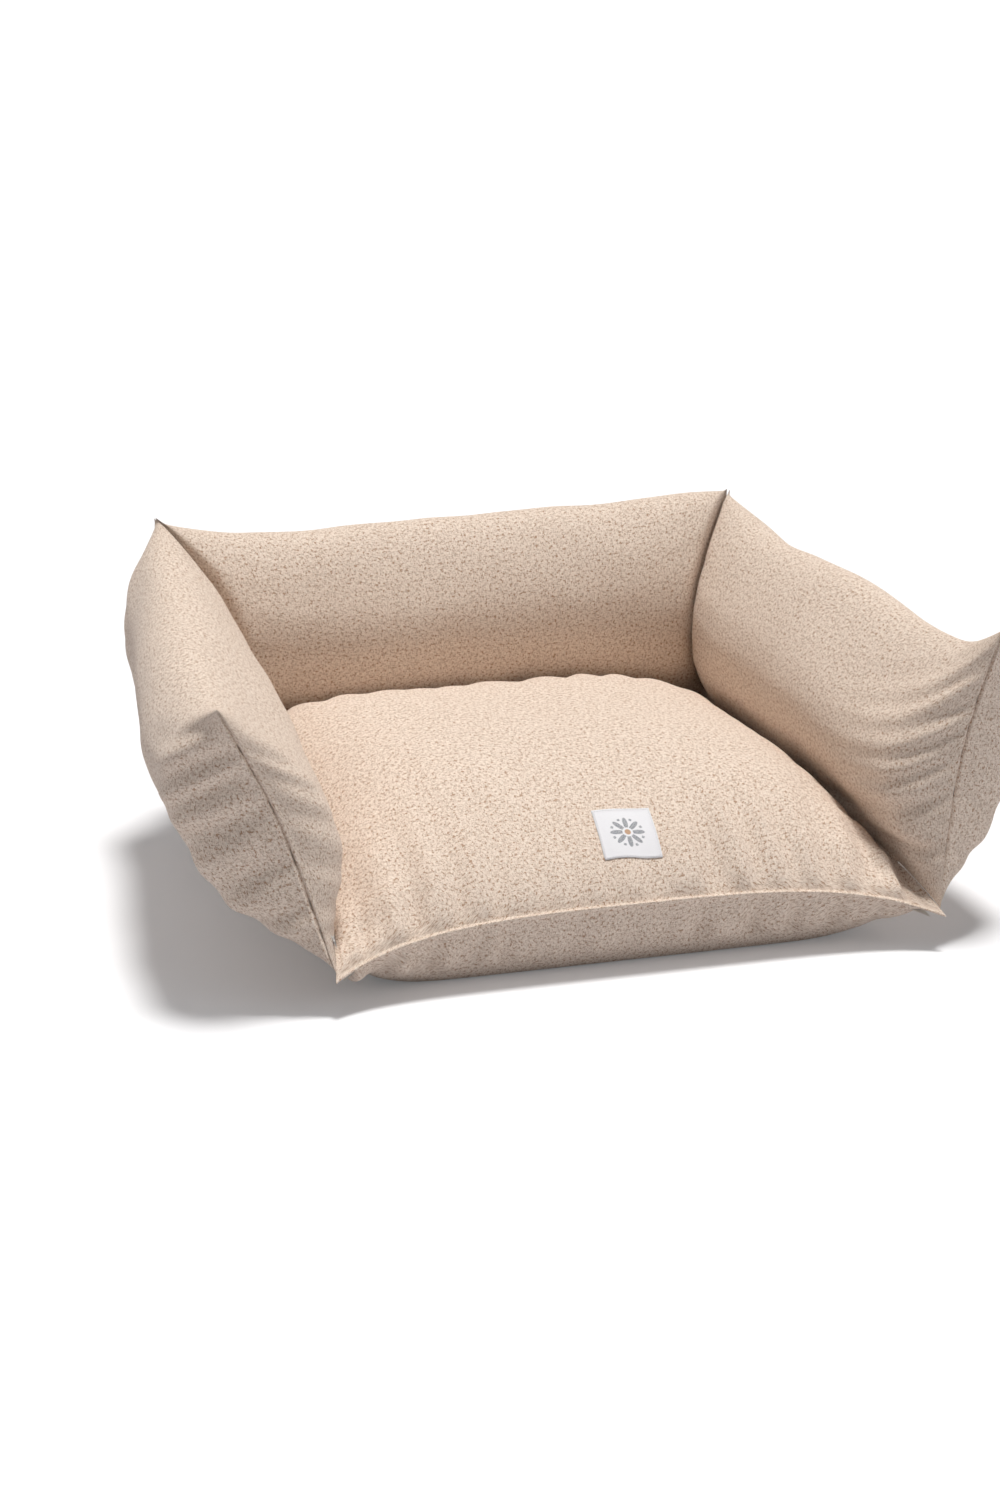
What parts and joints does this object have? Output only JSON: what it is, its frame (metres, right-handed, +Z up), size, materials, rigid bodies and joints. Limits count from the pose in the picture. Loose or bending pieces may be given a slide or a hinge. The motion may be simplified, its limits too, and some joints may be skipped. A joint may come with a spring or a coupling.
{
  "type": "pet bed",
  "caption": "Square padded pet bed: a plump seat cushion with standing bolster pillows on three sides that fold out flat, open at the front.",
  "frame": {"origin": "on the floor under the seat cushion's centre, on the flat face that it rests on", "axes": "+X to the bed's right seen from its open front, +Y to its back, +Z up"},
  "size_m": [0.8084, 0.6012, 0.3139],
  "materials": {
    "cloth": "oatmeal melange plain weave",
    "seam": "sewn edge of the cover cloth",
    "filling": "white fibre filling in a liner",
    "label": null,
    "zip_tape": "woven polyester tape",
    "zip_coil": "nylon coil",
    "zip_metal": "antique plated zinc",
    "hook_and_loop": "beige hook-and-loop"
  },
  "bodies": {
    "root": {"seat_bottom_panel": "cloth", "seat_top_panel": "cloth", "seat_insert": "filling", "label": "label", "left_seam_welt": "seam", "back_seam_welt": "seam", "right_seam_welt": "seam", "seat_zip_tape": "zip_tape", "seat_zip_coil": "zip_coil"},
    "left_bolster": {"left_bolster_cover": "cloth", "left_bolster_insert": "filling", "left_bolster_zip_tape": "zip_tape", "left_bolster_zip_coil": "zip_coil", "left_corner_loop_dot": "hook_and_loop"},
    "back_bolster": {"back_bolster_cover": "cloth", "back_bolster_insert": "filling", "back_bolster_zip_tape": "zip_tape", "back_bolster_zip_coil": "zip_coil", "left_corner_hook_dot": "hook_and_loop", "right_corner_hook_dot": "hook_and_loop"},
    "right_bolster": {"right_bolster_cover": "cloth", "right_bolster_insert": "filling", "right_bolster_zip_tape": "zip_tape", "right_bolster_zip_coil": "zip_coil", "right_corner_loop_dot": "hook_and_loop"},
    "seat_zip_slider": {"seat_zip_slider": "zip_metal"},
    "seat_zip_pull": {"seat_zip_pull": "zip_metal"},
    "left_bolster_zip_slider": {"left_bolster_zip_slider": "zip_metal"},
    "left_bolster_zip_pull": {"left_bolster_zip_pull": "zip_metal"},
    "back_bolster_zip_slider": {"back_bolster_zip_slider": "zip_metal"},
    "back_bolster_zip_pull": {"back_bolster_zip_pull": "zip_metal"},
    "right_bolster_zip_slider": {"right_bolster_zip_slider": "zip_metal"},
    "right_bolster_zip_pull": {"right_bolster_zip_pull": "zip_metal"}
  },
  "joints": [
    {"name": "left_bolster_fold", "type": "hinge", "parent": "root", "child": "left_bolster", "pos_m": [-0.285, 0, 0.065], "axis": [0, -1, 0], "range_deg": [0, 66]},
    {"name": "back_bolster_fold", "type": "hinge", "parent": "root", "child": "back_bolster", "pos_m": [0, 0.256, 0.065], "axis": [-1, 0, 0], "range_deg": [0, 83]},
    {"name": "right_bolster_fold", "type": "hinge", "parent": "root", "child": "right_bolster", "pos_m": [0.285, 0, 0.065], "axis": [0, 1, 0], "range_deg": [0, 77]},
    {"name": "seat_zip_slide", "type": "slide", "parent": "root", "child": "seat_zip_slider", "axis": [1, 0, 0], "range_m": [0, 0.289]},
    {"name": "seat_zip_pull_swing", "type": "hinge", "parent": "seat_zip_slider", "child": "seat_zip_pull", "pos_m": [-0.1445, 0.24412, 0.02264], "axis": [0, 0.569, 0.8224], "range_deg": [0, 160]},
    {"name": "left_bolster_zip_slide", "type": "slide", "parent": "left_bolster", "child": "left_bolster_zip_slider", "axis": [0, 1, 0.0066], "range_m": [0, 0.289]},
    {"name": "left_bolster_zip_pull_swing", "type": "hinge", "parent": "left_bolster_zip_slider", "child": "left_bolster_zip_pull", "pos_m": [-0.33158, -0.14601, 0.09331], "axis": [-0.7666, -0.0042, 0.6421], "range_deg": [0, 160]},
    {"name": "back_bolster_zip_slide", "type": "slide", "parent": "back_bolster", "child": "back_bolster_zip_slider", "axis": [1, 0, -0.0015], "range_m": [0, 0.289]},
    {"name": "back_bolster_zip_pull_swing", "type": "hinge", "parent": "back_bolster_zip_slider", "child": "back_bolster_zip_pull", "pos_m": [-0.14462, 0.29624, 0.09581], "axis": [0.0011, 0.7004, 0.7138], "range_deg": [0, 160]},
    {"name": "right_bolster_zip_slide", "type": "slide", "parent": "right_bolster", "child": "right_bolster_zip_slider", "axis": [0, -1, -0.0012], "range_m": [0, 0.289]},
    {"name": "right_bolster_zip_pull_swing", "type": "hinge", "parent": "right_bolster_zip_slider", "child": "right_bolster_zip_pull", "pos_m": [0.32522, 0.14244, 0.09503], "axis": [0.7093, -0.0009, 0.7049], "range_deg": [0, 160]}
  ]
}
